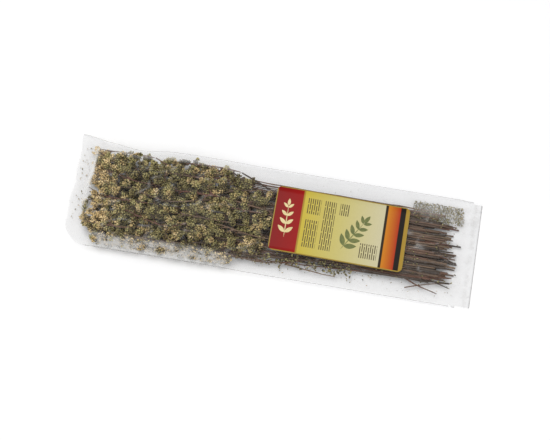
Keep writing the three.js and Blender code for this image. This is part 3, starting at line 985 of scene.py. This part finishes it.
def build_heads(settings):
    """Flower heads: the node's stalks with a crowd of bracted spikelets at the end of each of them."""
    rng = random.Random(settings.seed)
    bracts = shared("dry oregano bracts", bract_material, settings)
    bark = shared("dry oregano stem bark", bark_material, bpy.context.scene.oregano_stems)
    spikelet = spikelet_template(settings, bracts)
    stalk = rod_template("stalk_rod", 4, 4, (), (bark,))
    woods = {}
    stalks = []
    for node in HEAD_NODES:
        places, woods[node] = spikelet_places(node)
        stalks += [(node, base, ahead) for base, ahead in places]
    side_stalks = spread_stalks(stalks, settings, rng)
    for node in HEAD_NODES:
        set_point_value(woods[node], "tint", rng.uniform(0.45, 0.95))
        woods[node].materials.append(bark)
        wood = new_object("wood", woods[node])
        rounding = wood.modifiers.new("rounding", "SUBSURF")
        rounding.levels = 1
        apply_all(wood)
        bpy.ops.object.shade_smooth()
        pieces = [wood]
        placed = []
        for head, base, ahead in stalks:
            if head == node:
                placed += corymb(base, ahead, settings.crowd, rng, settings)
        for head, foot, end in side_stalks:
            if head == node:
                bow = (foot + end) / 2 + Vector((rng.uniform(-1, 1), rng.uniform(-1, 1), 0.5)) * MM
                mesh = swept(stalk, smooth_line((foot, bow, end), 4), 0.4 * MM, 0.3 * MM, rng.random())
                pieces.append(new_object("stalk", mesh))
                outward = strayed((end - bow).normalized(), rng.uniform(0, 0.7), rng.uniform(0, 6))
                placed += corymb(end - outward * 2 * MM, outward, settings.side_crowd, rng, settings)
        for matrix, tint in placed:
            pieces.append(moved_copy("spikelet", spikelet, matrix, tint))
        settle(joined("bracted_" + node, pieces), "flower", node)
    bpy.data.objects.remove(spikelet)
    bpy.data.objects.remove(stalk)


def build_bits(settings):
    """Loose bits: dark bits low under the heads, partly leaf litter and partly painted shade in the gaps
    between the heads, and crumbs of bracts along the film's sides.
    """
    rng = random.Random(settings.seed)
    heads = bpy.context.scene.oregano_heads
    flake = bract_template(heads)
    flake.data.materials.append(shared("dry oregano bracts", bract_material, heads))
    tip = Vector(max(coordinates(flake.data), key=lambda point: point[2]))
    pieces = []
    for count, low, high, depths, sizes, tints in BITS_MM:
        for _ in range(round(count * settings.share)):
            x, y = (rng.uniform(a, b) * MM for a, b in zip(low, high))
            floor, roof = back_film(x, y) + 1.1 * MM, upper_film(x, y) - 0.9 * MM
            # Dark bits go only where the heads cover them: partly leaf litter, partly painted shade in the
            # gaps between the heads.
            covered = tints[1] > 0.3 or in_foliage(x - 9 * MM, y + 5 * MM)
            if not covered or roof < floor or x < mouth_x(y) + 3 * MM or x > INSIDE_END:
                continue
            spot = Vector((x, y, mix(floor, roof, rng.uniform(*depths))))
            lying = Quaternion((1, 0, 0), rng.uniform(1.2, 1.9))
            lying = Quaternion((0, 0, 1), rng.uniform(0, math.tau)) @ lying
            matrix = (Matrix.Translation(spot) @ lying.to_matrix().to_4x4()
                      @ Matrix.Scale(rng.uniform(*sizes), 4))
            if not inside_film(matrix @ tip, 0.7 * MM):
                continue
            pieces.append(moved_copy("bit", flake, matrix, rng.uniform(*tints)))
    settle(joined("loose_leaf_bits", pieces), "flower")
    bpy.ops.object.shade_smooth()
    bpy.data.objects.remove(flake)


def build_stage(settings):
    """Pale floor, soft studio light and the camera that looks down on the bundle."""
    scene = bpy.context.scene
    deselect()
    bpy.ops.mesh.primitive_plane_add(size=6)
    floor = bpy.context.object
    floor.name = "pale_floor"
    material, tree, output = new_material("pale studio paper")
    coords = add_node(tree, "ShaderNodeTexCoord").outputs["Object"]
    cloud = add_node(tree, "ShaderNodeTexNoise", {"Vector": coords, "Scale": 3.0, "Detail": 2.0})
    colour = add_node(tree, "ShaderNodeValToRGB", {"Fac": cloud.outputs["Fac"]},
                      stops=((0.3, "#f6f6f7"), (0.7, "#fafafa")))
    surface = add_node(tree, "ShaderNodeBsdfPrincipled", {"Base Color": colour.outputs[0], "Roughness": 0.9,
                       "Specular IOR Level": 0.1})
    tree.links.new(surface.outputs[0], output.inputs["Surface"])
    floor.data.materials.append(material)

    world = bpy.data.worlds.new("studio")
    world.use_nodes = True
    world.node_tree.nodes["Background"].inputs["Color"].default_value = (1.0, 1.0, 1.0, 1.0)
    world.node_tree.nodes["Background"].inputs["Strength"].default_value = settings.surround
    scene.world = world

    for name, place, size, share in (("key", (-0.38, 0.3, 1.55), 1.1, 1.0),
                                     ("fill", (0.7, -0.8, 1.2), 1.2, 0.45)):
        lamp = bpy.data.lights.new(name, "AREA")
        lamp.size = size
        lamp.energy = settings.lamp_power * share
        light = bpy.data.objects.new(name, lamp)
        light.location = place
        light.rotation_euler = (-Vector(place)).to_track_quat("-Z", "Y").to_euler()
        scene.collection.objects.link(light)

    lens = bpy.data.cameras.new("camera")
    lens.lens = settings.focal_length
    camera = bpy.data.objects.new("camera", lens)
    azimuth, elevation = settings.azimuth, settings.elevation
    back = Vector((math.sin(azimuth) * math.cos(elevation), -math.cos(azimuth) * math.cos(elevation),
                   math.sin(elevation)))
    aim = Vector((2.0 * MM, 4.0 * MM, 0))
    camera.location = aim + back * settings.distance
    camera.rotation_euler = (-back).to_track_quat("-Z", "Y").to_euler()
    scene.collection.objects.link(camera)
    scene.camera = camera
    scene.view_settings.view_transform = "Standard"


class FilmSettings(bpy.types.PropertyGroup):
    """Sizes and look of the film sleeve."""

    thickness: FloatProperty(name="Thickness", description="Thickness of the film", default=0.12 * MM,
                             unit="LENGTH")
    wrinkle: FloatProperty(name="Wrinkle", description="Height of the film's wrinkles", default=1.0 * MM,
                           unit="LENGTH")
    haze: FloatProperty(name="Haze", description="Share of light that one face of the film stops",
                        default=0.007, min=0, max=1)
    edge_gloss: FloatProperty(name="Edge gloss", description="Strength of the film's sheen at its bends",
                              default=0.4, min=0, max=2)
    tint: FloatVectorProperty(name="Tint", description="Colour of light that passes the film",
                              default=linear("#ffffff"), subtype="COLOR")
    veil: FloatVectorProperty(name="Veil", description="Colour of the film's own haze",
                              default=linear("#f4f3f1"), subtype="COLOR")


class LabelSettings(bpy.types.PropertyGroup):
    """Sizes and look of the paper label."""

    thickness: FloatProperty(name="Thickness", description="Thickness of the paper", default=0.22 * MM,
                             unit="LENGTH")
    gloss: FloatProperty(name="Roughness", description="Roughness of the coated paper", default=0.38,
                         min=0, max=1)


class StemSettings(bpy.types.PropertyGroup):
    """Sizes and look of the stems."""

    seed: IntProperty(name="Seed", description="Start of the random numbers", default=5)
    companions: IntProperty(name="Companions", description="Thin stems tried beside each stem", default=4)
    low_stems: IntProperty(name="Low stems", description="Thin stems tried under the others", default=80)
    near_stems: IntProperty(name="Near stems", description="Thin stems tried along the near side",
                            default=14)
    fibre: FloatProperty(name="Fibre", description="Width of the bark's fibres", default=0.5 * MM,
                         unit="LENGTH")


class HeadSettings(bpy.types.PropertyGroup):
    """Sizes and look of the flower heads."""

    seed: IntProperty(name="Seed", description="Start of the random numbers", default=11)
    crowd: IntProperty(name="Crowd", description="Spikelets tried at the end of a stalk", default=5)
    fill_tries: IntProperty(name="Fill tries", description="Side stalks tried in thin places", default=9000)
    fill_depth: IntProperty(name="Fill depth", description="Stalk ends wanted in each cell", default=1)
    fill_cell: FloatProperty(name="Fill cell", description="Side of a cell of the foliage", default=6.5 * MM,
                             unit="LENGTH")
    fill_reach: FloatProperty(name="Fill reach", description="Longest side stalk", default=30 * MM,
                              unit="LENGTH")
    side_crowd: IntProperty(name="Side crowd", description="Spikelets tried on a side stalk", default=4)
    spikelet_length: FloatProperty(name="Spikelet", description="Length of a small spikelet",
                                   default=7.0 * MM, unit="LENGTH")
    bract_length: FloatProperty(name="Bract length", description="Length of a bract", default=4.2 * MM,
                                unit="LENGTH")
    bract_width: FloatProperty(name="Bract width", description="Width of a bract", default=1.9 * MM,
                               unit="LENGTH")
    bract_depth: FloatProperty(name="Bract depth", description="Depth of a bract's keel", default=0.7 * MM,
                               unit="LENGTH")
    mottle: FloatProperty(name="Mottle", description="Width of the bracts' brown mottling", default=2.5 * MM,
                          unit="LENGTH")


class BitSettings(bpy.types.PropertyGroup):
    """Number of the loose bits."""

    seed: IntProperty(name="Seed", description="Start of the random numbers", default=3)
    share: FloatProperty(name="Share", description="Share of the usual number of bits", default=1.0, min=0)


class StageSettings(bpy.types.PropertyGroup):
    """Light and camera."""

    surround: FloatProperty(name="Surround", description="Strength of the white surround", default=0.5,
                            min=0)
    lamp_power: FloatProperty(name="Lamp", description="Power of the key light", default=14.5, unit="POWER")
    focal_length: FloatProperty(name="Lens", description="Focal length in millimetres", default=85, min=10)
    distance: FloatProperty(name="Distance", description="Distance of the camera", default=1.30,
                            unit="LENGTH")
    azimuth: FloatProperty(name="Azimuth", description="Turn of the camera about the bundle",
                           default=math.radians(9.6), subtype="ANGLE")
    elevation: FloatProperty(name="Elevation", description="Height of the camera over the floor",
                             default=math.radians(75), subtype="ANGLE")


class OREGANO_OT_film(bpy.types.Operator):
    """Build the clear film sleeve"""

    bl_idname = "oregano.film"
    bl_label = "Film Sleeve"

    def execute(self, context):
        build_film(context.scene.oregano_film)
        return {"FINISHED"}


class OREGANO_OT_label(bpy.types.Operator):
    """Build the printed paper label"""

    bl_idname = "oregano.label"
    bl_label = "Paper Label"

    def execute(self, context):
        build_label(context.scene.oregano_label)
        return {"FINISHED"}


class OREGANO_OT_stems(bpy.types.Operator):
    """Build the woody stems"""

    bl_idname = "oregano.stems"
    bl_label = "Stems"

    def execute(self, context):
        build_stems(context.scene.oregano_stems)
        return {"FINISHED"}


class OREGANO_OT_heads(bpy.types.Operator):
    """Build the flower heads"""

    bl_idname = "oregano.heads"
    bl_label = "Flower Heads"

    def execute(self, context):
        build_heads(context.scene.oregano_heads)
        return {"FINISHED"}


class OREGANO_OT_bits(bpy.types.Operator):
    """Scatter the loose bits"""

    bl_idname = "oregano.bits"
    bl_label = "Loose Bits"

    def execute(self, context):
        build_bits(context.scene.oregano_bits)
        return {"FINISHED"}


class OREGANO_OT_stage(bpy.types.Operator):
    """Set the floor, the light and the camera"""

    bl_idname = "oregano.stage"
    bl_label = "Stage"

    def execute(self, context):
        build_stage(context.scene.oregano_stage)
        return {"FINISHED"}


class OREGANO_PT_bundle(bpy.types.Panel):
    """Panel with the operators of the bundle"""

    bl_idname = "OREGANO_PT_bundle"
    bl_label = "Oregano Bundle"
    bl_space_type = "VIEW_3D"
    bl_region_type = "UI"
    bl_category = "Oregano"

    def draw(self, context):
        for operator in OPERATORS:
            self.layout.operator(operator.bl_idname)


OPERATORS = (OREGANO_OT_film, OREGANO_OT_label, OREGANO_OT_stems, OREGANO_OT_heads, OREGANO_OT_bits,
             OREGANO_OT_stage)
GROUPS = {
    "oregano_film": FilmSettings,
    "oregano_label": LabelSettings,
    "oregano_stems": StemSettings,
    "oregano_heads": HeadSettings,
    "oregano_bits": BitSettings,
    "oregano_stage": StageSettings,
}


def register():
    """Adds the settings, operators and panel."""
    for group in (*GROUPS.values(), *OPERATORS, OREGANO_PT_bundle):
        bpy.utils.register_class(group)
    for name, group in GROUPS.items():
        setattr(bpy.types.Scene, name, PointerProperty(type=group))


def unregister():
    """Takes the settings, operators and panel away."""
    for name in GROUPS:
        delattr(bpy.types.Scene, name)
    for group in (OREGANO_PT_bundle, *reversed(OPERATORS), *reversed(GROUPS.values())):
        bpy.utils.unregister_class(group)


def main():
    """Builds every piece and the stage."""
    register()
    bpy.ops.oregano.film()
    bpy.ops.oregano.label()
    bpy.ops.oregano.stems()
    bpy.ops.oregano.heads()
    bpy.ops.oregano.bits()
    bpy.ops.oregano.stage()


if __name__ == "__main__":
    main()
